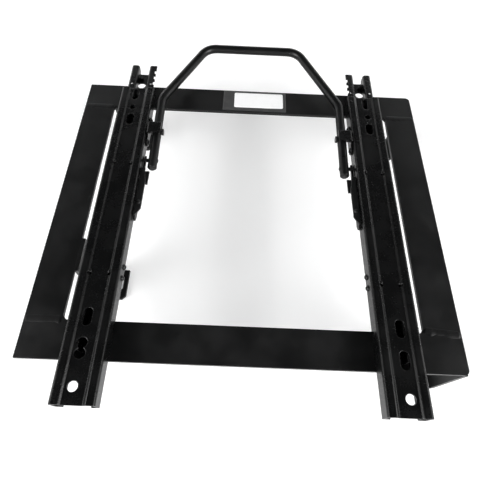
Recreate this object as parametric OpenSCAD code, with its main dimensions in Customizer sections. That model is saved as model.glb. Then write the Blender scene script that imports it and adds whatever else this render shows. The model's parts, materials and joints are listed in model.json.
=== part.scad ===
// Seat base frame with two slide rails, a towel-bar release handle and a rack latch on each rail.
// Millimetres. X runs across the seat, Y forward and Z up. The origin is on the floor under the middle.
// Inside the file y is counted from the rear edge of the frame and z from its top face.

/* [Frame] */
// outside width of the frame
frame_w = 500; // [490:1:515]
// depth of the frame, rear edge to front edge
frame_d = 422; // [412:1:432]
// width of the flat bar that the frame is made of
bar_w = 44.5; // [43:0.5:48]
// thickness of the flat bar
bar_t = 4.5; // [4:0.5:6]
// width of a side plate
side_w = 43.5; // [40:0.5:45]
// floor to the top face of the frame
leg_h = 100; // [85:1:120]
// middle radius of the bends in the legs
bar_bend_r = 6; // [5:0.5:8]
// radius of the right corners of the frame
corner_r = 6; // [3:0.5:10]
// length of a left foot along the floor
foot_len = 40; // [36:1:46]
// length of a right foot along the floor
right_foot_len = 27; // [26:1:34]
// middle of the left rear leg, from the rear edge
left_leg_y = 127; // [115:1:140]
// corner cut off each foot
foot_cut = 6; // [4:1:8]
// width of the floor bolt slot in a foot
foot_slot_w = 9; // [8:0.5:11]
// length of the floor bolt slot in a foot
foot_slot_len = 18; // [14:1:22]

/* [Rails] */
// side edge of the frame to the middle of a rail
rail_in = 82; // [80:1:84]
// length of each upper rail
rail_len = 442; // [432:1:452]
// thickness of the rail sheet
rail_t = 2.2; // [2:0.1:2.4]
// middle radius of the bends in the rail sheet
rail_bend_r = 2.4; // [2.2:0.1:2.8]
// rear end of the lower rails, ahead of the rear edge of the frame
lower_y = 8; // [4:1:12]
// front end of the lower rails, ahead of the front edge of the frame
lower_ahead = 29; // [24:1:34]
// rear end of the upper rails as shown, behind the rear edge of the frame
upper_back = 48; // [42:1:52]
// half width of the lower rail over its walls
lower_half = 10.2; // [10:0.1:10.6]
// half width of the lower rail over its lips
lip_half = 19.6; // [19.2:0.1:20]
// height of the lower rail
lower_h = 16; // [15:0.25:16.5]
// half width of the upper rail
upper_half = 23.5; // [23.2:0.1:24]
// height of the ridges of the upper rail
ridge_h = 24.5; // [24.5:0.25:26]
// depth of the flat web between the ridges
web_drop = 2.6; // [2.2:0.1:2.8]
// half width of the flat web
web_half = 11.2; // [10.8:0.1:11.3]
// half width of the web and its two slopes
slope_half = 14.4; // [14.2:0.1:14.6]
// underside of the hems of the upper rail above the frame
hem_z = 2.7; // [2.6:0.1:3.5]
// half width of the gap between the hems
hem_half = 14.4; // [14:0.1:15]

/* [Rack and bolts] */
// pitch of the notches in the rack
tooth_pitch = 12; // [11.5:0.25:12.5]
// width of a notch at its root
notch_w = 6.6; // [6.2:0.1:7]
// slant of the rear flank of a notch
notch_slant = 1.7; // [1:0.1:2.4]
// depth of a notch
notch_depth = 2.4; // [2:0.1:2.6]
// number of notches in the rack
notch_count = 22; // [18:1:24]
// width of the seat bolt slots
seat_slot_w = 10.5; // [9:0.5:11]
// length of the seat bolt slots
seat_slot_len = 20.5; // [18:0.5:22]
// rear end of an upper rail to its rear seat bolt
seat_bolt_rear = 90.5; // [86:0.5:94]
// front end of an upper rail to its front seat bolt
seat_bolt_front = 61.5; // [58:0.5:66]
// distance of the seat holes from the middle of the rail, outward
seat_hole_out = 3; // [1:0.5:4]
// diameter of the rail bolts
rail_bolt_d = 8; // [6:0.5:10]

/* [Balls] */
// number of balls in one row
ball_count = 7; // [4:1:9]
// length of a ball cage
cage_len = 300; // [280:1:310]
// thickness of a ball cage
cage_t = 1; // [0.8:0.1:1.2]

/* [Handle] */
// diameter of the handle bar
rod_d = 12.5; // [11:0.5:13]
// middle of a rail to the handle rod beside it
rod_u = 37; // [36:0.5:39]
// half width of the grip between the bend points
grip_half = 71; // [60:1:80]
// front end of an upper rail back to the pivot of the handle
pivot_back = 78; // [74:1:82]
// pivot of the handle above the frame
pivot_z = 15.5; // [15.25:0.25:17]
// handle pivot to the middle of the grip
grip_reach = 169; // [160:1:180]
// handle pivot to the point where the rods turn inward
elbow_reach = 61; // [55:1:67]
// handle pivot back to the end of a rod
tail_reach = 63; // [60:1:66]
// handle pivot back to its cross pin
cross_reach = 49.5; // [46:0.5:51]
// radius of the bends in the handle bar
rod_bend_r = 26; // [20:1:32]
// rise of the handle toward the grip, in degrees
handle_rise = 3.5; // [3:0.25:4.5]
// diameter of the pivot pins
pivot_d = 6; // [5:0.25:6]
// diameter of the cross pins
cross_d = 5; // [4:0.25:5]

/* [Latch] */
// pivot of the handle back to the pivot of the latch lever
latch_back = 111; // [109:1:113]
// pivot of the latch lever above the frame
latch_z = 10; // [9.5:0.25:10.5]
// number of claws on a latch lever
claw_count = 2; // [1:1:2]
// width of a claw
claw_w = 5.2; // [4.6:0.1:5.4]
// first claw, ahead of the latch pivot
claw_ahead = 29; // [27:1:31]
// gap between the claws and the rack when the latch is open
claw_drop = 1.1; // [1:0.05:1.3]
// outside diameter of the return spring inside the rail
spring_d = 4; // [3.5:0.25:4.5]
// wire diameter of the return spring
wire_d = 1; // [0.8:0.1:1.2]

/* [Hidden] */
$fn = 48;
fit = 0.15;
run = 0.3;
side_in = frame_w / 2 - side_w;
foot_edge = 6;
stud_x = 4.6;
stud_d = 6;
stud_h = 4;
stop_d = 4.6;
mid_t = rail_t / 2;
rail_gauge = frame_w - 2 * rail_in;
rod_x = rail_gauge / 2 - rod_u;
upper_y = -upper_back;
upper_end = upper_y + rail_len;
lower_end = frame_d + lower_ahead;
pivot_y = upper_end - pivot_back;
latch_y = pivot_y - latch_back;
ridge_zc = ridge_h - mid_t;
web_zc = ridge_zc - web_drop;
hem_zc = hem_z + mid_t;
wall_c = upper_half - mid_t;
wall_in = upper_half - rail_t;
lip_zc = lower_h - mid_t;
low_wall_c = lower_half - mid_t;
lip_turn_z = lower_h - 6;
ball_gap = ridge_h - rail_t - lower_h;
ball_d = ball_gap - 2 * run;
ball_z = lower_h + ball_gap / 2;
cage_in = web_half + 1.1;
cage_out = cage_in + ball_d + 1.7;
ball_x = (cage_in + cage_out) / 2;
cage_mid = (lower_y + lower_end + upper_y + upper_end) / 4;
row_len = cage_len - 40;
bolt_front_y = frame_d - bar_w / 2;
bolt_rear_y = bar_w / 2 + 4;
head_d = 1.65 * rail_bolt_d;
head_h = 4.5;
nut_h = 0.8 * rail_bolt_d;
seat_bolt_y = upper_y + seat_bolt_rear;
seat_front_y = upper_end - seat_bolt_front;
rack_y = latch_y + claw_ahead - 4 * tooth_pitch;
lip_hole_y = rack_y + (notch_count - 3.2) * tooth_pitch;
lip_hole_x = (lower_half + lip_half) / 2 - 0.6;
web_hole_y = lower_end - 29;
web_hole_d = 12;
web_cut = 4.5;
bracket_x = upper_half + rail_t;
rod_out = rod_u + rod_d / 2;
saddle_top = pivot_z + rod_d / 2 + 4;
saddle_back = 9;
saddle_front = 9;
ear_reach = 21;
ear_r = 6;
rivet_d = 5;
lever_x = upper_half + 0.6;
lever_end_x = lever_x + 2.4;
lever_top = 15.4;
flange_t = 2.2;
flange_w = 8.4;
tab_reach = 9.5;
lever_low = 5;
arm_top = pivot_z - cross_reach * sin(handle_rise) - cross_d / 2 - 0.5;
cross_y = pivot_y - cross_reach * cos(handle_rise);
claw_top = lower_h - rail_t - claw_drop;
claw_t = 2.4;
claw_y = latch_y + claw_ahead;
claw_tip = lip_half - notch_depth + 0.5;
window_gap = 1.2;
tail_y = latch_y - 32;
spring_x = (lower_half + wall_in) / 2;
spring_z = latch_z + 0.8;
peg_d = 2.4;
peg_swing = 4.6;
anchor_d = 4;
head_t = 2.4;
peg_y = tail_y + 9;
anchor_y = peg_y - 75;
anchor_rear_y = anchor_y - 14;
spring_y0 = anchor_y + 7;
spring_y1 = peg_y - 7;
bend_lap = 1;
bend_grow = 0.16;
rod_chamfer = 2;
grip_y = pivot_y + grip_reach * cos(handle_rise);
mid_y = (upper_y + grip_y + rod_d / 2) / 2;

// Points of a bent sheet

function unit(v) = v / norm(v);
function left_of(a, b) = let (u = unit(b - a)) [-u[1], u[0]];
function turned(v, a) = [v[0] * cos(a) - v[1] * sin(a), v[0] * sin(a) + v[1] * cos(a)];

// one bend at b, moved sideways by off from the middle line
function bend_points(a, b, c, r, off, steps) =
  let (
    u = unit(b - a),
    v = unit(c - b),
    way = sign(u[0] * v[1] - u[1] * v[0]),
    angle = acos(u * v),
    start = b - u * r * tan(angle / 2),
    across = way * left_of(a, b),
    middle = start + across * r
  )
  [for (i = [0 : steps]) middle - (r - way * off) * turned(across, way * angle * i / steps)];

function sheet_side(path, r, off, steps) =
  let (last = len(path) - 1)
  concat(
    [path[0] + off * left_of(path[0], path[1])],
    [for (i = [1 : last - 1]) each bend_points(path[i - 1], path[i], path[i + 1], r, off, steps)],
    [path[last] + off * left_of(path[last - 1], path[last])]
  );

function reversed(list) = [for (i = [len(list) - 1 : -1 : 0]) list[i]];

function sheet(path, r, t, steps = 5) =
  concat(sheet_side(path, r, t / 2, steps), reversed(sheet_side(path, r, -t / 2, steps)));

// Helpers

// puts the frame's own coordinates on the floor, in the middle
module placed() {
  translate([0, -mid_y, leg_h]) children();
}

// side -1 is the left rail, side 1 the right one, with +x of the children toward the middle of the frame
module on_rail(side) {
  placed() translate([side * rail_gauge / 2, 0, 0]) {
    if (side > 0) mirror([1, 0, 0]) children();
    else children();
  }
}

// extrudes an outline in x and z along y
module run_y(y, length) {
  translate([0, y + length, 0]) rotate([90, 0, 0]) linear_extrude(length) children();
}

// extrudes an outline in y and z along x
module run_x(x, length) {
  translate([x, 0, 0]) rotate([90, 0, 90]) linear_extrude(length) children();
}

// a pin along x
module pin_x(x, y, z, d, length) {
  translate([x, y, z]) rotate([0, 90, 0]) cylinder(d = d, h = length);
}

// a rounded rivet head at the end of a pin along x
module dome_x(x, y, z, d, h) {
  ball_r = (d * d / 4 + h * h) / (2 * h);
  translate([x, y, z]) rotate([0, 90, 0]) intersection() {
    translate([0, 0, h - ball_r]) sphere(r = ball_r);
    cylinder(d = d + 1, h = h + 1);
  }
}

// an upright slot along y through z
module slot_y(x, y, z, w, length, h) {
  reach = (length - w) / 2;
  translate([x, y, z]) {
    for (end = [-1, 1]) translate([0, end * reach, 0]) cylinder(d = w, h = h);
    translate([-w / 2, -reach, 0]) cube([w, 2 * reach, h]);
  }
}

// Frame

// flat bar across the frame, its outer right corner rounded; end -1 is the rear bar, 1 the front one
module cross_plate_form(y, end) {
  half = frame_w / 2;
  translate([0, 0, -bar_t]) linear_extrude(bar_t) {
    translate([-half, y]) square([frame_w - corner_r, bar_w]);
    translate([half - corner_r - 1, end < 0 ? y + corner_r : y]) square([corner_r + 1, bar_w - corner_r]);
    translate([half - corner_r, end < 0 ? y + corner_r : y + bar_w - corner_r]) circle(r = corner_r);
  }
}

// notches in the front edge, below the holes in the ends of the lower rails
module front_notches() {
  for (side = [-1, 1]) translate([side * (rail_gauge / 2 + seat_hole_out), web_hole_y, -bar_t - 1]) {
    cylinder(d = web_hole_d + 1, h = bar_t + 2);
    translate([-web_hole_d / 2 - 0.5, 0, 0]) cube([web_hole_d + 1, bar_w, bar_t + 2]);
  }
}

module rail_bolt_holes() {
  for (side = [-1, 1], y = [bolt_rear_y, bolt_front_y])
    translate([side * rail_gauge / 2, y, -bar_t - 1]) cylinder(d = rail_bolt_d + 2 * fit, h = bar_t + 2);
}

module side_plate_form(side) {
  translate([side * (side_in + side_w / 2) - side_w / 2, bar_w, -bar_t])
    cube([side_w, frame_d - 2 * bar_w, bar_t]);
}

// strap with its foot turned inward, drawn for the left side from its outer face at x
module leg_form(x, y, top, length) {
  tip = x + length;
  floor_z = bar_t / 2 - leg_h;
  difference() {
    run_y(y - bar_w / 2, bar_w)
      polygon(sheet([[x + bar_t / 2, top], [x + bar_t / 2, floor_z], [tip, floor_z]], bar_bend_r, bar_t));
    slot_y(tip - foot_edge - foot_slot_w / 2, y, -leg_h - 1, foot_slot_w, foot_slot_len, bar_t + 2);
    translate([0, 0, -leg_h - 1]) linear_extrude(bar_t + 2) polygon([
      [tip - foot_cut, y - bar_w / 2 - 1], [tip + 1, y - bar_w / 2 - 1], [tip + 1, y - bar_w / 2 + foot_cut]
    ]);
  }
}

module front_cross_plate() {
  color("#1d1e20") placed() difference() {
    cross_plate_form(frame_d - bar_w, 1);
    rail_bolt_holes();
    front_notches();
  }
}

module rear_cross_plate() {
  color("#1d1e20") placed() difference() {
    cross_plate_form(0, -1);
    rail_bolt_holes();
  }
}

module left_side_plate() {
  color("#1d1e20") placed() side_plate_form(-1);
}

module right_side_plate() {
  color("#1d1e20") placed() side_plate_form(1);
}

module left_front_leg() {
  color("#1d1e20") placed() leg_form(-side_in, frame_d - bar_w / 2, -bar_t, foot_len);
}

module left_rear_leg() {
  color("#1d1e20") placed() leg_form(-side_in, left_leg_y, 0, foot_len);
}

module right_front_leg() {
  color("#1d1e20") placed() mirror([1, 0, 0])
    leg_form(-frame_w / 2, frame_d - bar_w / 2, -bar_t, right_foot_len);
}

module right_rear_leg() {
  color("#1d1e20") placed() mirror([1, 0, 0])
    leg_form(-frame_w / 2, bar_w / 2, -bar_t, right_foot_len);
}

// Lower rails

module lower_rail_form() {
  path = [
    [-lip_half + mid_t, lip_turn_z], [-lip_half + mid_t, lip_zc], [-low_wall_c, lip_zc], [-low_wall_c, mid_t],
    [low_wall_c, mid_t], [low_wall_c, lip_zc], [lip_half, lip_zc]
  ];
  difference() {
    run_y(lower_y, lower_end - lower_y) polygon(sheet(path, rail_bend_r, rail_t));
    // rack notches in the lip that faces the middle of the frame
    for (i = [0 : notch_count - 1])
      translate([lip_half, rack_y + i * tooth_pitch, lower_h - rail_t - 1]) linear_extrude(rail_t + 2) polygon([
        [1, notch_w / 2], [-notch_depth, notch_w / 2], [-notch_depth, -notch_w / 2],
        [0, -notch_w / 2 - notch_slant], [1, -notch_w / 2 - notch_slant]
      ]);
    for (y = [bolt_rear_y, bolt_front_y])
      translate([0, y, -1]) cylinder(d = rail_bolt_d + 2 * fit, h = rail_t + 2);
    translate([-seat_hole_out, web_hole_y, -1]) cylinder(d = web_hole_d, h = rail_t + 2);
    for (x = [-1, 1])
      translate([x * lip_hole_x, lip_hole_y, lower_h - rail_t - 1]) cylinder(d = 4, h = rail_t + 2);
    // the floor of the rail ends short of its lips
    translate([-lower_half - 1, lower_end - web_cut, -1])
      cube([2 * lower_half + 2, web_cut + 1, rail_t + rail_bend_r]);
  }
  // stop stud on the floor of the rail
  translate([-stud_x, web_hole_y + 14, rail_t / 2]) cylinder(d = stud_d, h = stud_h);
}

module left_lower_rail() {
  color("#232427") on_rail(-1) lower_rail_form();
}

module right_lower_rail() {
  color("#232427") on_rail(1) lower_rail_form();
}

module rail_bolts() {
  color("#2b2c2f") for (side = [-1, 1], y = [bolt_rear_y, bolt_front_y])
    on_rail(side) translate([0, y, 0]) {
      translate([0, 0, -bar_t - nut_h - 2]) cylinder(d = rail_bolt_d, h = bar_t + nut_h + 2 + rail_t);
      difference() {
        translate([0, 0, rail_t]) cylinder(d = head_d, h = head_h);
        translate([0, 0, rail_t + head_h / 2]) cylinder(d = head_d / 2, h = head_h, $fn = 6);
      }
    }
}

module rail_nuts() {
  color("#2b2c2f") for (side = [-1, 1], y = [bolt_rear_y, bolt_front_y])
    on_rail(side) translate([0, y, -bar_t - nut_h]) difference() {
      cylinder(d = 1.85 * rail_bolt_d, h = nut_h, $fn = 6);
      translate([0, 0, -1]) cylinder(d = rail_bolt_d + fit, h = nut_h + 2);
    }
}

// Upper rails

module upper_rail_form(side) {
  path = [
    [-hem_half, hem_zc], [-wall_c, hem_zc], [-wall_c, ridge_zc], [-slope_half, ridge_zc], [-web_half, web_zc],
    [web_half, web_zc], [slope_half, ridge_zc], [wall_c, ridge_zc], [wall_c, hem_zc], [hem_half, hem_zc]
  ];
  difference() {
    run_y(upper_y, rail_len) polygon(sheet(path, rail_bend_r, rail_t));
    upper_rail_holes(side);
    upper_rail_stops();
    // window that the latch claws reach through
    translate([wall_in - 1, latch_y + claw_ahead - claw_w / 2 - window_gap, claw_top - claw_t - 3])
      cube([rail_t + 2, (claw_count - 1) * tooth_pitch + claw_w + 2 * window_gap, claw_t + 7]);
    for (y = [pivot_y + ear_reach, pivot_y - saddle_back - 8])
      pin_x(wall_in - 1, y, pivot_z - 3, rivet_d + fit, rail_t + 2);
    pin_x(wall_in - 1, latch_y, latch_z, pivot_d + fit, rail_t + 2);
    pin_x(wall_in - 1, peg_y, spring_z, peg_d + peg_swing, rail_t + 2);
    for (y = [anchor_y, anchor_rear_y]) pin_x(wall_in - 1, y, spring_z, anchor_d + fit, rail_t + 2);
  }
}

// seat bolt slots and spare holes, the rearmost slot of the left rail being two round holes run together
module upper_rail_holes(side) {
  low = web_zc - rail_t;
  deep = 2 * rail_t;
  out = -seat_hole_out;
  spare_y = seat_bolt_y - 34;
  for (y = [seat_bolt_y, seat_front_y, upper_end - 13]) slot_y(out, y, low, seat_slot_w, seat_slot_len, deep);
  if (side > 0) slot_y(out, spare_y, low, seat_slot_w, seat_slot_len, deep);
  else for (y = [-5.5, 5.5]) translate([out, spare_y + y, low]) cylinder(d = 12, h = deep);
  translate([out, seat_front_y + 23, low]) cylinder(d = 9, h = deep);
  translate([out, upper_y + 18, low]) cylinder(d = 11, h = deep);
  translate([slope_half + 3, upper_end - 8, low]) cylinder(d = 4, h = 3 * deep);
}

// four small round holes at the feet of the slopes
module upper_rail_stops() {
  for (side = [-1, 1], share = [0.32, 0.68])
    translate([side * web_half, upper_y + share * rail_len, web_zc - rail_t])
      cylinder(d = stop_d, h = 2 * rail_t + web_drop);
}

module left_upper_rail() {
  color("#1a1b1d") on_rail(-1) upper_rail_form(-1);
}

module right_upper_rail() {
  color("#1a1b1d") on_rail(1) upper_rail_form(1);
}

// Ball cages and balls between the lips of the lower rail and the ridges of the upper rail

function ball_y(i) = cage_mid - row_len / 2 + i * row_len / (ball_count - 1);

module ball_cages_form() {
  width = cage_out - cage_in;
  for (side = [-1, 1])
    difference() {
      translate([side * (cage_in + width / 2) - width / 2, cage_mid - cage_len / 2, ball_z - cage_t / 2])
        cube([width, cage_len, cage_t]);
      for (i = [0 : ball_count - 1])
        translate([side * ball_x, ball_y(i), ball_z - cage_t]) cylinder(d = ball_d + 0.3, h = 2 * cage_t);
    }
}

module balls_form() {
  for (side = [-1, 1], i = [0 : ball_count - 1])
    translate([side * ball_x, ball_y(i), ball_z]) sphere(d = ball_d);
}

module left_ball_cages() {
  color("#8a8d90") on_rail(-1) ball_cages_form();
}

module right_ball_cages() {
  color("#8a8d90") on_rail(1) ball_cages_form();
}

module left_balls() {
  color("#b9bcc0") on_rail(-1) balls_form();
}

module right_balls() {
  color("#b9bcc0") on_rail(1) balls_form();
}

// Saddles that carry the handle on the upper rails

module saddle_form() {
  low = pivot_z - rod_d / 2 - 3;
  path = [
    [bracket_x - mid_t, low], [bracket_x - mid_t, saddle_top - mid_t], [rod_out, saddle_top - mid_t]
  ];
  difference() {
    union() {
      run_y(pivot_y - saddle_back, saddle_back + saddle_front) polygon(sheet(path, rail_bend_r, rail_t));
      run_x(upper_half, rail_t) saddle_back_outline();
    }
    pin_x(upper_half - 1, pivot_y, pivot_z, pivot_d + fit, rail_t + 2);
    for (y = [pivot_y + ear_reach, pivot_y - saddle_back - 8])
      pin_x(upper_half - 1, y, pivot_z - 3, rivet_d + fit, rail_t + 2);
  }
}

// back plate with a round ear at each end
module saddle_back_outline() {
  z = pivot_z - 3;
  rear = pivot_y - saddle_back - 8;
  front = pivot_y + ear_reach;
  translate([rear, z - ear_r]) square([front - rear, 2 * ear_r]);
  for (y = [rear, front]) translate([y, z]) circle(r = ear_r);
}

module saddle_rivets_form() {
  for (y = [pivot_y + ear_reach, pivot_y - saddle_back - 8]) {
    pin_x(wall_in, y, pivot_z - 3, rivet_d, 2 * rail_t);
    dome_x(bracket_x, y, pivot_z - 3, 1.8 * rivet_d, 2.2);
  }
}

module pivot_pin_form() {
  length = rod_out + run - upper_half;
  pin_x(upper_half, pivot_y, pivot_z, pivot_d, length);
  pin_x(upper_half + length, pivot_y, pivot_z, 1.6 * pivot_d, head_t);
}

module left_saddle() {
  color("#1f2023") on_rail(-1) saddle_form();
}

module right_saddle() {
  color("#1f2023") on_rail(1) saddle_form();
}

module left_saddle_rivets() {
  color("#2b2c2f") on_rail(-1) saddle_rivets_form();
}

module right_saddle_rivets() {
  color("#2b2c2f") on_rail(1) saddle_rivets_form();
}

module left_pivot_pin() {
  color("#2b2c2f") on_rail(-1) pivot_pin_form();
}

module right_pivot_pin() {
  color("#2b2c2f") on_rail(1) pivot_pin_form();
}

// Latch levers: a rocker on each upper rail whose claws enter the rack from below

module latch_lever_form() {
  front = cross_y + 10;
  shoulder = cross_y - 10;
  difference() {
    union() {
      run_x(lever_x, lever_end_x - lever_x) polygon([
        [tail_y, lever_low + 3], [tail_y + 6, lever_low], [shoulder, lever_low], [front, arm_top - 3.6],
        [front, arm_top], [shoulder, arm_top], [shoulder - 6, lever_top],
        [tail_y + 6, lever_top], [tail_y, lever_top - 3]
      ]);
      lever_flange(shoulder - 6);
      // tab that the hand or a tool can press
      translate([lever_x, claw_y - 4, lever_low + 2]) cube([tab_reach, 21, flange_t]);
      for (i = [0 : claw_count - 1])
        translate([claw_tip, claw_y + i * tooth_pitch - claw_w / 2, claw_top - claw_t])
          cube([lever_end_x - claw_tip, claw_w, claw_t]);
      // peg that the return spring pulls, through the wall of the rail
      pin_x(spring_x - peg_d / 2, peg_y, spring_z, peg_d, lever_end_x - spring_x);
    }
    pin_x(lever_x - 1, latch_y, latch_z, pivot_d + fit, lever_end_x - lever_x + 2);
  }
}

// flange along the top of the lever, narrow beside the end of the handle rod and tapered at the tail
module lever_flange(front) {
  narrow = rod_u - rod_d / 2 - 2 * run - 0.5;
  wide = lever_x + flange_w;
  rod_end = pivot_y - tail_reach;
  translate([0, 0, lever_top - 0.4]) linear_extrude(flange_t) polygon([
    [lever_x, front], [narrow, front], [narrow, rod_end - 6], [wide, rod_end - 26],
    [wide, tail_y + 14], [lever_end_x, tail_y + 4], [lever_x, tail_y + 4]
  ]);
  // head of the rivet that holds the claw plate
  translate([lever_x + flange_w / 2, latch_y - 9, lever_top - 0.4 + flange_t]) rotate([0, -90, 0])
    dome_x(0, 0, 0, 6.4, 1.8);
}

module latch_pivot_form() {
  reach = lever_end_x + run;
  pin_x(wall_in, latch_y, latch_z, pivot_d, reach - wall_in);
  dome_x(reach, latch_y, latch_z, 1.5 * pivot_d, 2.2);
}

module left_latch_lever() {
  color("#242528") on_rail(-1) latch_lever_form();
}

module right_latch_lever() {
  color("#242528") on_rail(1) latch_lever_form();
}

module left_latch_pivot() {
  color("#2b2c2f") on_rail(-1) latch_pivot_form();
}

module right_latch_pivot() {
  color("#2b2c2f") on_rail(1) latch_pivot_form();
}

// Return springs and their anchors on the upper rails

// strap inside the wall of the rail, held by two rivets whose heads show outside, with a post for the spring
module spring_anchor_form() {
  strap_t = 1.2;
  strap_h = 4.6;
  translate([wall_in - strap_t, anchor_rear_y - 3, spring_z - strap_h / 2])
    cube([strap_t, anchor_y - anchor_rear_y + 6, strap_h]);
  pin_x(spring_x - peg_d / 2, anchor_y, spring_z, peg_d, wall_in - spring_x);
  for (y = [anchor_y, anchor_rear_y]) {
    pin_x(wall_in - strap_t / 2, y, spring_z, anchor_d, rail_t + strap_t / 2);
    dome_x(upper_half, y, spring_z, 1.9 * anchor_d, 2.8);
  }
}

// close-wound coil as one turned body, with a wire to the post at one end and to the peg at the other
module return_spring_form() {
  turns = floor((spring_y1 - spring_y0) / (1.25 * wire_d));
  pitch = (spring_y1 - spring_y0) / turns;
  r = spring_d / 2;
  core = r - wire_d;
  groove = r - wire_d / 2;
  profile = concat(
    [[core, 0], [groove, 0]],
    [for (i = [0 : turns - 1], p = [[0.25, r], [0.75, r], [1, groove]]) [p[1], (i + p[0]) * pitch]],
    [[core, turns * pitch]]
  );
  reach = peg_y - spring_y1 - peg_d / 2 - 0.1;
  translate([spring_x, spring_y0, spring_z]) rotate([-90, 0, 0]) {
    rotate_extrude() polygon(profile);
    for (z = [0, turns * pitch - wire_d]) translate([0, 0, z]) cylinder(r = groove, h = wire_d);
    translate([0, 0, -reach]) cylinder(d = wire_d, h = reach + wire_d / 2);
    translate([0, 0, turns * pitch - wire_d / 2]) cylinder(d = wire_d, h = reach + wire_d / 2);
  }
}

module left_spring_anchor() {
  color("#1f2023") on_rail(-1) spring_anchor_form();
}

module right_spring_anchor() {
  color("#1f2023") on_rail(1) spring_anchor_form();
}

module left_return_spring() {
  color("#3a3b3e") on_rail(-1) return_spring_form();
}

module right_return_spring() {
  color("#3a3b3e") on_rail(1) return_spring_form();
}

// Towel-bar handle

// straight piece of the bar from a to b in its own plane, with a chamfer at b
module rod_piece(a, b, chamfer) {
  along = b - a;
  length = norm(along);
  r = rod_d / 2;
  tip = chamfer > 0 ? [[r, length - chamfer], [r - chamfer, length]] : [[r, length]];
  translate([a[0], a[1], 0]) rotate([0, 0, atan2(along[1], along[0])]) rotate([0, 90, 0])
    rotate_extrude() polygon(concat([[0, 0], [r, 0]], tip, [[0, length]]));
}

// round bend of the bar at b, a hair thicker so that the straight pieces end inside it
module rod_bend(a, b, c) {
  u = unit(b - a);
  v = unit(c - b);
  way = sign(u[0] * v[1] - u[1] * v[0]);
  angle = acos(u * v);
  middle = b - u * rod_bend_r * tan(angle / 2) + way * rod_bend_r * left_of(a, b);
  across = -way * left_of(a, b);
  from = atan2(across[1], across[0]) - (way > 0 ? 0 : angle);
  translate([middle[0], middle[1], 0]) rotate([0, 0, from])
    rotate_extrude(angle = angle) translate([rod_bend_r, 0]) circle(d = rod_d + bend_grow);
}

function bend_cut(a, b, c) = rod_bend_r * tan(acos(unit(b - a) * unit(c - b)) / 2) - bend_lap;

module handle_plane() {
  placed() translate([0, pivot_y, pivot_z]) rotate([handle_rise, 0, 0]) children();
}

module towel_bar() {
  path = [
    [-rod_x, -tail_reach], [-rod_x, elbow_reach], [-grip_half, grip_reach],
    [grip_half, grip_reach], [rod_x, elbow_reach], [rod_x, -tail_reach]
  ];
  last = len(path) - 1;
  cuts = [for (i = [0 : last]) i == 0 || i == last ? 0 : bend_cut(path[i - 1], path[i], path[i + 1])];
  color("#17181a") handle_plane() difference() {
    union() {
      for (i = [0 : last - 1]) {
        along = unit(path[i + 1] - path[i]);
        start = path[i] + along * cuts[i];
        end = path[i + 1] - along * cuts[i + 1];
        if (i == 0) rod_piece(end, start, rod_chamfer);
        else rod_piece(start, end, i == last - 1 ? rod_chamfer : 0);
      }
      for (i = [1 : last - 1]) rod_bend(path[i - 1], path[i], path[i + 1]);
    }
    for (side = [-1, 1]) {
      pin_x(side * rod_x - rod_d, 0, 0, pivot_d + fit, 2 * rod_d);
      pin_x(side * rod_x - rod_d, -cross_reach, 0, cross_d + fit, 2 * rod_d);
    }
  }
}

// pin through each rod that presses the latch lever down
module cross_pin_form(side) {
  inner = rod_x - rod_d / 2 - 0.6;
  outer = rail_gauge / 2 - lever_x - 0.4;
  handle_plane() pin_x(side > 0 ? inner : -outer, -cross_reach, 0, cross_d, outer - inner);
}

module left_cross_pin() {
  color("#2b2c2f") cross_pin_form(-1);
}

module right_cross_pin() {
  color("#2b2c2f") cross_pin_form(1);
}

front_cross_plate();
rear_cross_plate();
left_side_plate();
right_side_plate();
left_front_leg();
left_rear_leg();
right_front_leg();
right_rear_leg();
left_lower_rail();
right_lower_rail();
rail_bolts();
rail_nuts();
left_upper_rail();
left_saddle();
left_saddle_rivets();
left_pivot_pin();
left_latch_pivot();
left_spring_anchor();
left_return_spring();
left_ball_cages();
left_balls();
left_latch_lever();
right_upper_rail();
right_saddle();
right_saddle_rivets();
right_pivot_pin();
right_latch_pivot();
right_spring_anchor();
right_return_spring();
right_ball_cages();
right_balls();
right_latch_lever();
towel_bar();
left_cross_pin();
right_cross_pin();
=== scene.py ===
"""Looks of the seat base frame: paints, welds, blank label, floor, light and camera."""

import json
import math

import bmesh
import bpy
from mathutils import Matrix, Vector, noise


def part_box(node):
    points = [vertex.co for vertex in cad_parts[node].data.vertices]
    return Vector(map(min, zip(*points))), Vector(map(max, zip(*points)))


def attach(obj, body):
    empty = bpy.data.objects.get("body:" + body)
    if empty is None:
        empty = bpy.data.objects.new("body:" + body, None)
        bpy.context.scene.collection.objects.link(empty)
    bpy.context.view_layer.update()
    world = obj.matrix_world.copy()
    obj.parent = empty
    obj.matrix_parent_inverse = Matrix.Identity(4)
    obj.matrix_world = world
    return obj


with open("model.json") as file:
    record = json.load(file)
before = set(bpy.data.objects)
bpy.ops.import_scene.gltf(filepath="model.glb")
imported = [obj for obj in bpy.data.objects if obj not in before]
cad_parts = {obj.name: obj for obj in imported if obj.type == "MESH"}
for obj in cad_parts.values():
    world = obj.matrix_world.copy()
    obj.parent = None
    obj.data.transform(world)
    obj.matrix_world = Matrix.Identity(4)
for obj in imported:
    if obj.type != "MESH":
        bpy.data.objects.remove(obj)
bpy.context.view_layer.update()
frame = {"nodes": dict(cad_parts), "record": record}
scene = bpy.context.scene

# Places on the frame, in metres
rear_low, rear_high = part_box("rear_cross_plate")
TOP, UNDER = rear_high[2], rear_low[2]
REAR, REAR_SEAM = rear_low[1], rear_high[1]
FRONT_SEAM, FRONT = (corner[1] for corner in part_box("front_cross_plate"))
SIDE_IN, SIDE_OUT = (corner[0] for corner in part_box("right_side_plate"))

# Range that most of a noise texture lies in
NOISE_RANGE = (0.3, 0.7)

# Paint
PAINT_SPECULAR = 0.3
EDGE_SAMPLES = 8
SCUFF_STRETCH = (1.0, 0.12, 1.0)

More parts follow.
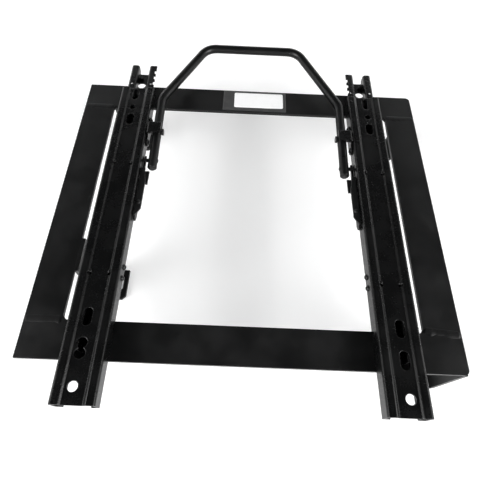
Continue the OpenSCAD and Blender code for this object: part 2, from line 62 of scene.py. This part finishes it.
# Welds between the plates, in metres; the top one at the right rear is slanted and higher
TOP_WELD_WIDTH, TOP_WELD_HEIGHT = 0.0082, 0.0003
SLANTED_WELD = ("right", "rear")
WELD_SLANT, SLANTED_WELD_HEIGHT = 0.0035, 0.0006
UNDER_WELD_WIDTH, UNDER_WELD_HEIGHT = 0.0052, 0.0013
WELD_INSET = 0.001

# Faces of each leg that carry a fillet: -1 looks left, 1 looks right
LEG_FACES = {"left_front": (-1, 1), "left_rear": (-1,), "right_front": (-1,), "right_rear": (-1,)}

# Label and tape on the front plate, in metres: sides across, and distances behind the front edge
TAPE_ACROSS, TAPE_BEHIND = (-0.0418, 0.0549), (0.042, 0.0006)
PAPER_ACROSS, PAPER_BEHIND = (-0.0248, 0.0505), (0.0352, 0.0042)
TAPE_CORNER, TAPE_THICK = 0.0005, 0.0001
PAPER_CORNER, PAPER_THICK, PAPER_CURL = 0.0024, 0.00012, 0.0004
PAPER_GAP = 0.00002

# Light of the floor, of the wall's bright band and of the open sky
FLOOR_GLOW, BAND_GLOW, SKY = 0.36, 1.0, 0.09

# Heights in metres between which the band's light rises, and falls again
BAND_RISE, BAND_FALL = (0.02, 0.6), (0.8, 1.5)

# Lamps: name, place, size in metres, power in watts; all aim at the middle of the frame
LAMP_AIM = (0, 0, 0.1)
LAMPS = (
    ("left", (-1.95, -1.1, 1.15), 1.6, 66),
    ("right", (1.95, -1.0, 1.1), 1.6, 64),
    ("left_rim", (-2.0, -0.05, 1.4), 0.35, 5),
    ("right_rim", (2.0, -0.05, 1.4), 0.35, 5),
)

# Camera from a fit of the photograph: angles in degrees, focal length in pixels of the frame
CAMERA_PLACE = (-0.01182, REAR - 0.0879, TOP + 0.4576)
CAMERA_YAW, CAMERA_PITCH, CAMERA_ROLL = 0.92, 61.93, 3.21
FOCAL_PIXELS, FRAME_PIXELS, SENSOR_MM = 408.4, 480, 36


# Node helpers


def put(tree, socket, value):
    """Links a socket to the value, or sets it where the value is plain."""
    if isinstance(value, bpy.types.NodeSocket):
        tree.links.new(value, socket)
    else:
        socket.default_value = value


def add(tree, kind, props=None, **inputs):
    """A shader node, with its inputs set to values or linked to sockets."""
    made = tree.nodes.new("ShaderNode" + kind)
    for name, value in (props or {}).items():
        setattr(made, name, value)
    for name, value in inputs.items():
        put(tree, made.inputs[name], value)
    return made


def math_node(tree, operation, a, b, clamp=False):
    """The result of one operation on two values."""
    made = add(tree, "Math", {"operation": operation, "use_clamp": clamp})
    put(tree, made.inputs[0], a)
    put(tree, made.inputs[1], b)
    return made.outputs[0]


def times(tree, a, b):
    """The product of two values."""
    return math_node(tree, "MULTIPLY", a, b)


def span(tree, value, given, wanted):
    """Maps the value from one range to another and stops at its ends."""
    made = add(tree, "MapRange", {"clamp": True}, Value=value)
    for side, number in zip(("From Min", "From Max", "To Min", "To Max"), (*given, *wanted)):
        put(tree, made.inputs[side], number)
    return made.outputs[0]


def spread(tree, texture, low, high):
    """Maps a noise texture to low and high."""
    return span(tree, texture, NOISE_RANGE, (low, high))


def mix(tree, share, a, b):
    """A colour between a and b."""
    made = add(tree, "Mix", {"data_type": "RGBA"})
    factor, first, second, result = 0, 6, 7, 2
    put(tree, made.inputs[factor], share)
    put(tree, made.inputs[first], a)
    put(tree, made.inputs[second], b)
    return made.outputs[result]


def grey(level, tint=1.0):
    """A grey a little bluer where tint is above 1."""
    return (level, level * (1 + tint) / 2, level * tint, 1.0)


def speckle(tree, where, scale, detail, stretch=None):
    """Noise in the part's own metres, drawn out along its axes by stretch."""
    if stretch:
        where = add(tree, "Mapping", Vector=where, Scale=stretch).outputs[0]
    return add(tree, "TexNoise", Vector=where, Scale=scale, Detail=detail).outputs[0]


def relief(tree, shader, height, strength, distance, **normal):
    """Fine bumps on the shader's surface."""
    raised = add(tree, "Bump", Strength=strength, Distance=distance, Height=height, **normal)
    put(tree, shader.inputs["Normal"], raised.outputs[0])


def start(name):
    """A new material: itself, its node tree, its shader and the place on the object."""
    made = bpy.data.materials.new(name)
    made.use_nodes = True
    tree = made.node_tree
    tree.nodes.clear()
    out = add(tree, "OutputMaterial")
    shader = add(tree, "BsdfPrincipled")
    tree.links.new(shader.outputs[0], out.inputs[0])
    where = add(tree, "TexCoord").outputs["Object"]
    return made, tree, shader, where


# Materials


def paint(name, level, rough, edge=0.05, wear=0.35, dust=0.06, peel=0.12, round_off=0.0007):
    """Satin black paint: clouded black, orange peel, rubbed edges and settled dust."""
    made, tree, shader, where = start(name)
    clouds = speckle(tree, where, scale=34, detail=4)
    fine = speckle(tree, where, scale=420, detail=3)
    scuffs = speckle(tree, where, scale=90, detail=5, stretch=SCUFF_STRETCH)
    skin = speckle(tree, where, scale=1100, detail=1)

    # Edges, where the rounded normal leaves the true one
    rounded = add(tree, "Bevel", {"samples": EDGE_SAMPLES}, Radius=round_off).outputs[0]
    true_normal = add(tree, "NewGeometry").outputs["Normal"]
    bend = add(tree, "VectorMath", {"operation": "DOT_PRODUCT"})
    put(tree, bend.inputs[0], rounded)
    put(tree, bend.inputs[1], true_normal)
    at_edge = span(tree, bend.outputs["Value"], (0.99, 0.86), (0.0, 1.0))
    rubbed = times(tree, at_edge, span(tree, fine, (0.42, 0.66), (0.0, wear)))

    # Dust on faces that look up
    up = add(tree, "SeparateXYZ", Vector=true_normal).outputs[2]
    settled = span(tree, up, (0.5, 1.0), (0.0, dust))
    lying = times(tree, settled, span(tree, clouds, (0.4, 0.7), (0.0, 1.0)))

    dark, light = grey(level * 0.8, tint=1.06), grey(level * 1.2, tint=1.06)
    colour = mix(tree, spread(tree, clouds, 0.0, 1.0), dark, light)
    scuffed = span(tree, scuffs, (0.62, 0.78), (0.0, 0.3))
    colour = mix(tree, scuffed, colour, grey(level * 2.4, tint=1.02))
    colour = mix(tree, lying, colour, grey(0.05, tint=0.98))
    colour = mix(tree, rubbed, colour, grey(edge, tint=1.02))
    put(tree, shader.inputs["Base Color"], colour)

    put(tree, shader.inputs["Specular IOR Level"], PAINT_SPECULAR)
    broad = spread(tree, clouds, rough - 0.06, rough + 0.06)
    gloss = math_node(tree, "ADD", broad, spread(tree, fine, -0.02, 0.03))
    gloss = math_node(tree, "ADD", gloss, times(tree, lying, 0.5), clamp=True)
    put(tree, shader.inputs["Roughness"], gloss)
    relief(tree, shader, skin, strength=peel, distance=0.0004, Normal=rounded)
    return made


def steel(name, level, rough, stain=0.3, grain=(1.0, 0.05, 1.0)):
    """Bare steel with drawn grain, an oil film and a little dulling."""
    made, tree, shader, where = start(name)
    lines = speckle(tree, where, scale=700, detail=4, stretch=grain)
    clouds = speckle(tree, where, scale=60, detail=4)
    dull, bright = grey(level * 0.82, tint=1.03), grey(level, tint=1.02)
    oil = (level * 0.42, level * 0.36, level * 0.3, 1.0)
    colour = mix(tree, spread(tree, lines, 0.0, 1.0), dull, bright)
    colour = mix(tree, span(tree, clouds, (0.45, 0.75), (0.0, stain)), colour, oil)
    put(tree, shader.inputs["Base Color"], colour)
    put(tree, shader.inputs["Metallic"], 1.0)
    drawn = spread(tree, lines, rough - 0.08, rough + 0.08)
    gloss = math_node(tree, "ADD", drawn, span(tree, clouds, (0.4, 0.8), (0.0, 0.15)))
    put(tree, shader.inputs["Roughness"], gloss)
    relief(tree, shader, lines, strength=0.12, distance=0.0003)
    return made


def sticker():
    """Blank white paper label with faint fibre and a light grey rub."""
    made, tree, shader, where = start("label_paper")
    fibre = speckle(tree, where, scale=1500, detail=4, stretch=(1.0, 0.35, 1.0))
    clouds = speckle(tree, where, scale=70, detail=4)
    shaded, white, rub = (0.92, 0.925, 0.93, 1.0), (0.97, 0.97, 0.97, 1.0), (0.7, 0.7, 0.69, 1.0)
    colour = mix(tree, spread(tree, fibre, 0.0, 1.0), shaded, white)
    colour = mix(tree, span(tree, clouds, (0.55, 0.8), (0.0, 0.2)), colour, rub)
    put(tree, shader.inputs["Base Color"], colour)
    put(tree, shader.inputs["Roughness"], spread(tree, clouds, 0.42, 0.62))
    relief(tree, shader, fibre, strength=0.15, distance=0.0002)
    return made


def film():
    """Clear tape gone milky, on the black paint below it."""
    made, tree, shader, where = start("milky_tape")
    smear = speckle(tree, where, scale=260, detail=4, stretch=(0.3, 1.0, 1.0))
    clouds = speckle(tree, where, scale=110, detail=3)
    colour = mix(tree, spread(tree, clouds, 0.0, 1.0), grey(0.036, tint=1.02), grey(0.052))
    colour = mix(tree, span(tree, smear, (0.55, 0.75), (0.0, 0.5)), colour, grey(0.08))
    put(tree, shader.inputs["Base Color"], colour)
    put(tree, shader.inputs["Roughness"], spread(tree, smear, 0.3, 0.46))
    relief(tree, shader, smear, strength=0.2, distance=0.0002)
    return made


MATERIALS = {
    "frame_paint": paint(
        "satin_black_frame", level=0.0038, rough=0.4, wear=0.15, dust=0.035, peel=0.1, round_off=0.0004
    ),
    "rail_paint": paint(
        "satin_black_rail", level=0.0022, rough=0.27, edge=0.04, wear=0.1, dust=0.015, peel=0.02,
        round_off=0.0012,
    ),
    "lever_paint": paint("thin_black_lever", level=0.007, rough=0.36, edge=0.09, wear=0.6),
    "bar_paint": paint("satin_black_bar", level=0.0026, rough=0.33, edge=0.04, dust=0.02, peel=0.05),
    "fastener_black": paint(
        "blackened_fastener", level=0.01, rough=0.4, edge=0.1, wear=0.7, peel=0.06, round_off=0.0004
    ),
    "spring_wire": steel("dark_spring_wire", level=0.14, rough=0.36, stain=0.4, grain=(0.05, 1.0, 1.0)),
    "cage_steel": steel("greased_cage_steel", level=0.42, rough=0.34),
    "ball_steel": steel("polished_ball_steel", level=0.7, rough=0.12, stain=0.1, grain=(1.0, 1.0, 1.0)),
}
for part in frame["record"]["subparts"]:
    mesh = frame["nodes"][part["node"]].data
    mesh.materials.clear()
    mesh.materials.append(MATERIALS[part["material_slot"]])


# Added pieces


def smooth_object(name, mesh, material):
    """An object of the mesh in the scene, smooth and in one material."""
    for polygon in mesh.polygons:
        polygon.use_smooth = True
    mesh.materials.append(material)
    made = bpy.data.objects.new(name, mesh)
    scene.collection.objects.link(made)
    return made


def piece(name, shape, material, body):
    """Turns a bmesh into an object that rides on a body."""
    bmesh.ops.recalc_face_normals(shape, faces=shape.faces)
    mesh = bpy.data.meshes.new(name)
    shape.to_mesh(mesh)
    shape.free()
    made = smooth_object(name, mesh, material)
    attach(made, body)
    return made


def ring_walls(shape, first, second):
    """Faces between two rings of as many points."""
    count = len(first)
    for j in range(count):
        k = (j + 1) % count
        shape.faces.new((first[j], first[k], second[k], second[j]))


def weld_bead(name, a, b, up, width, height, sink=0.0008):
    """A rippled bead from a to b, domed toward up, with tapered ends."""
    ring_pitch, fewest_rings, sides = 0.0009, 12, 8
    ripple_pitch, ripple_depth = 0.0026, 0.1
    blunt, taper_length = 0.0008, 0.0035
    drift_place, drift_rate = 40, 160
    width_drift, height_drift, side_drift = 0.28, 0.5, 0.16
    foot = 0.6
    a, b, up = Vector(a), Vector(b), Vector(up).normalized()
    along = (b - a).normalized()
    across = along.cross(up)
    length = (b - a).length
    rings = max(fewest_rings, int(length / ring_pitch))
    shape = bmesh.new()
    rows = []
    for i in range(rings + 1):
        t = i / rings
        drift = noise.noise(a * drift_place + along * t * length * drift_rate)
        ripple = 1 - ripple_depth + ripple_depth * math.cos(2 * math.pi * t * length / ripple_pitch)
        taper = min(1.0, (min(t, 1 - t) * length + blunt) / taper_length) ** 0.5
        half = width / 2 * taper * (1 + width_drift * drift)
        tall = height * taper * ripple * (1 + height_drift * drift)
        middle = a + along * t * length + across * (width * side_drift * drift)
        points = []
        for j in range(sides + 1):
            angle = math.pi * j / sides
            points.append(middle + across * half * math.cos(angle) + up * (tall * math.sin(angle) ** 2))
        points.append(middle - across * half * foot - up * sink)
        points.append(middle + across * half * foot - up * sink)
        rows.append([shape.verts.new(point) for point in points])
    for first, second in zip(rows, rows[1:]):
        ring_walls(shape, first, second)
    shape.faces.new(rows[0])
    shape.faces.new(reversed(rows[-1]))
    made = piece(name, shape, MATERIALS["frame_paint"], "frame")


def plate_welds():
    """Beads where the side plates meet the cross plates, on top and underneath."""
    for y, end in ((REAR_SEAM, "rear"), (FRONT_SEAM, "front")):
        for side, word in ((-1, "left"), (1, "right")):
            low, high = sorted((side * (SIDE_IN + WELD_INSET), side * (SIDE_OUT - WELD_INSET)))
            slant, tall = 0.0, TOP_WELD_HEIGHT
            if (word, end) == SLANTED_WELD:
                slant, tall = WELD_SLANT, SLANTED_WELD_HEIGHT
            weld_bead(
                f"{word}_{end}_weld_top", (low, y + slant, TOP), (high, y, TOP), (0, 0, 1),
                TOP_WELD_WIDTH, tall,
            )
            weld_bead(
                f"{word}_{end}_weld_under", (low, y, UNDER), (high, y, UNDER), (0, 0, -1),
                UNDER_WELD_WIDTH, UNDER_WELD_HEIGHT,
            )


def corner_welds():
    """Small fills in the inner corners between the side plates and the cross plates."""
    reach, sag, steps = 0.0048, 0.0005, 6
    bite, skin = 0.0004, 0.0003
    for y, way, end in ((REAR_SEAM, 1, "rear"), (FRONT_SEAM, -1, "front")):
        for side, word in ((-1, "left"), (1, "right")):
            outline = [(SIDE_IN + bite, y - way * bite)]
            for i in range(steps + 1):
                t = i / steps
                pull = sag * math.sin(math.pi * t)
                outline.append((SIDE_IN - reach * (1 - t) + pull, y + way * (reach * t - pull)))
            shape = bmesh.new()
            low = [shape.verts.new((side * u, v, UNDER + skin)) for u, v in outline]
            high = [shape.verts.new((side * u, v, TOP - skin)) for u, v in outline]
            shape.faces.new(low)
            shape.faces.new(high)
            ring_walls(shape, low, high)
            made = piece(f"{word}_{end}_corner_weld", shape, MATERIALS["frame_paint"], "frame")


def leg_welds():
    """Fillets where the legs stand under the plates."""
    leg, inset, crown, depth = 0.004, 0.002, 0.0007, 0.9
    shift = leg / math.sqrt(2)
    thick = TOP - UNDER
    for word, faces in LEG_FACES.items():
        low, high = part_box(f"{word}_leg")
        inner = 1 if word.startswith("left") else -1
        wall = low[0] if inner > 0 else high[0]
        for way in faces:
            x = wall + inner * thick if way == inner else wall
            up = Vector((way, 0, -1)).normalized()
            start_at = Vector((x, low[1] + inset, UNDER)) + up * shift
            end_at = Vector((x, high[1] - inset, UNDER)) + up * shift
            name = f"{word}_leg_weld_{'inner' if way == inner else 'outer'}"
            weld_bead(name, start_at, end_at, up, 2 * shift, crown, sink=shift * depth)


def rail_lugs():
    """Pressed-up lips ahead of the small holes at the feet of the upper rails' slopes."""
    foot, drop, ahead = 0.0112, 0.0026, 0.0032
    size = Matrix.Diagonal((0.0021, 0.0024, 0.0014, 1.0))
    for word in ("left", "right"):
        low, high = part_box(f"{word}_upper_rail")
        middle = (low[0] + high[0]) / 2
        for share, end in ((0.32, "rear"), (0.68, "front")):
            y = low[1] + share * (high[1] - low[1]) + ahead
            for way, edge in ((-1, "left"), (1, "right")):
                place = Matrix.Translation((middle + way * foot, y, high[2] - drop))
                shape = bmesh.new()
                bmesh.ops.create_uvsphere(
                    shape, u_segments=16, v_segments=10, radius=1.0, matrix=place @ size
                )
                name = f"{word}_{end}_{edge}_lug"
                made = piece(name, shape, MATERIALS["rail_paint"], f"{word}_carriage")


def sheet_piece(name, across, behind, corner, thick, base, material, curl=0.0):
    """A thin sheet with rounded corners on the front plate, lifted by curl at one corner."""
    x0, x1 = across
    y0, y1 = (FRONT - distance for distance in behind)
    columns, lines = 48, 24
    curl_from, curl_width = 1.7, 0.3
    wave_height, wave_rate = 0.00003, 130
    skirt = 0.6
    shape = bmesh.new()
    rows = []
    for i in range(columns + 1):
        row = []
        for j in range(lines + 1):
            u, v = i / columns, j / lines
            x, y = x0 + (x1 - x0) * u, y0 + (y1 - y0) * v
            near_x = max(0.0, corner - min(x - x0, x1 - x))
            near_y = max(0.0, corner - min(y - y0, y1 - y))
            if near_x and near_y:
                pull = 1 - corner / max(corner, math.hypot(near_x, near_y))
                x += math.copysign(near_x * pull, 0.5 - u)
                y += math.copysign(near_y * pull, 0.5 - v)
            lift = curl * max(0.0, u + (1 - v) - curl_from) / curl_width
            wave = wave_height * noise.noise(Vector((x * wave_rate, y * wave_rate, 0)))
            row.append(shape.verts.new((x, y, base + thick + lift + wave)))
        rows.append(row)
    for first, second in zip(rows, rows[1:]):
        for j in range(lines):
            shape.faces.new((first[j], second[j], second[j + 1], first[j + 1]))
    made = bmesh.ops.extrude_face_region(shape, geom=shape.faces[:])
    lower = [v for v in made["geom"] if isinstance(v, bmesh.types.BMVert)]
    bmesh.ops.translate(shape, verts=lower, vec=(0, 0, -thick * skirt))
    piece(name, shape, material, "frame")


def label():
    """Blank sticker on a strip of tape that lies across the front plate."""
    sheet_piece("label_tape", TAPE_ACROSS, TAPE_BEHIND, TAPE_CORNER, TAPE_THICK, TOP, film())
    on_tape = TOP + TAPE_THICK + PAPER_GAP
    sheet_piece(
        "blank_label", PAPER_ACROSS, PAPER_BEHIND, PAPER_CORNER, PAPER_THICK, on_tape, sticker(), PAPER_CURL
    )


plate_welds()
corner_welds()
leg_welds()
rail_lugs()
label()


# Stage, light and camera


def floor_material():
    """Pale floor whose glow is seen directly, in mirrors and through glass, brighter low on the wall."""
    made, tree, shader, where = start("studio_floor")
    soft = speckle(tree, where, scale=3, detail=2)
    colour = mix(tree, soft, (0.79, 0.79, 0.79, 1), (0.81, 0.81, 0.81, 1))
    put(tree, shader.inputs["Base Color"], colour)
    put(tree, shader.inputs["Roughness"], 0.9)
    put(tree, shader.inputs["Specular IOR Level"], 0.1)
    rays = add(tree, "LightPath").outputs
    seen = math_node(tree, "MAXIMUM", rays["Is Camera Ray"], rays["Is Transmission Ray"])
    seen = math_node(tree, "MAXIMUM", seen, rays["Is Glossy Ray"])
    height = add(tree, "SeparateXYZ", Vector=where).outputs[2]
    rise = span(tree, height, BAND_RISE, (FLOOR_GLOW, BAND_GLOW))
    fall = span(tree, height, BAND_FALL, (1.0, FLOOR_GLOW / BAND_GLOW))
    put(tree, shader.inputs["Emission Color"], (1, 1, 1, 1))
    put(tree, shader.inputs["Emission Strength"], times(tree, seen, times(tree, rise, fall)))
    return made


def backdrop():
    """A round pale floor that curves up into a low wall, open above."""
    inner, flat, turn, high, steps, round_steps = 1.2, 2.6, 0.9, 2.4, 10, 72
    profile = [(0.0, 0.0), (inner, 0.0), (flat, 0.0)]
    for i in range(1, steps + 1):
        angle = math.pi / 2 * i / steps
        profile.append((flat + turn * math.sin(angle), turn - turn * math.cos(angle)))
    profile.append((flat + turn, high))
    points, faces = [], []
    for j in range(round_steps):
        angle = 2 * math.pi * j / round_steps
        points += [(r * math.cos(angle), r * math.sin(angle), z) for r, z in profile]
    count = len(profile)
    for j in range(round_steps):
        k = (j + 1) % round_steps
        for i in range(count - 1):
            corners = [j * count + i, k * count + i, k * count + i + 1, j * count + i + 1]
            faces.append(corners[1:] if i == 0 else corners)
    mesh = bpy.data.meshes.new("backdrop")
    mesh.from_pydata(points, [], faces)
    smooth_object("backdrop", mesh, floor_material())


def sky():
    """Faint even light from above the wall."""
    world = bpy.data.worlds.new("studio")
    scene.world = world
    world.use_nodes = True
    shade = world.node_tree.nodes["Background"]
    shade.inputs["Color"].default_value = (0.95, 0.97, 1.0, 1)
    shade.inputs["Strength"].default_value = SKY


def lamp(name, place, size, power):
    """A round soft lamp turned toward the frame."""
    data = bpy.data.lights.new(name, "AREA")
    data.shape = "DISK"
    data.size = size
    data.energy = power
    made = bpy.data.objects.new(name, data)
    scene.collection.objects.link(made)
    made.location = place
    made.rotation_euler = (Vector(LAMP_AIM) - Vector(place)).to_track_quat("-Z", "Y").to_euler()


def camera():
    """The photograph's camera, turned by yaw and pitch and then by roll."""
    yaw, pitch, roll = (math.radians(v) for v in (CAMERA_YAW, CAMERA_PITCH, CAMERA_ROLL))
    level = math.cos(pitch)
    ahead = Vector((math.sin(yaw) * level, math.cos(yaw) * level, -math.sin(pitch)))
    right = Vector((math.cos(yaw), -math.sin(yaw), 0))
    up = right.cross(ahead)
    side = right * math.cos(roll) + up * math.sin(roll)
    top = up * math.cos(roll) - right * math.sin(roll)
    data = bpy.data.cameras.new("camera")
    data.sensor_width = SENSOR_MM
    data.lens = FOCAL_PIXELS / FRAME_PIXELS * SENSOR_MM
    data.clip_start = 0.01
    made = bpy.data.objects.new("camera", data)
    scene.collection.objects.link(made)
    turn = Matrix((side, top, -ahead)).transposed().to_4x4()
    made.matrix_world = Matrix.Translation(CAMERA_PLACE) @ turn
    scene.camera = made


backdrop()
sky()
for settings in LAMPS:
    lamp(*settings)
camera()
scene.view_settings.view_transform = "Standard"
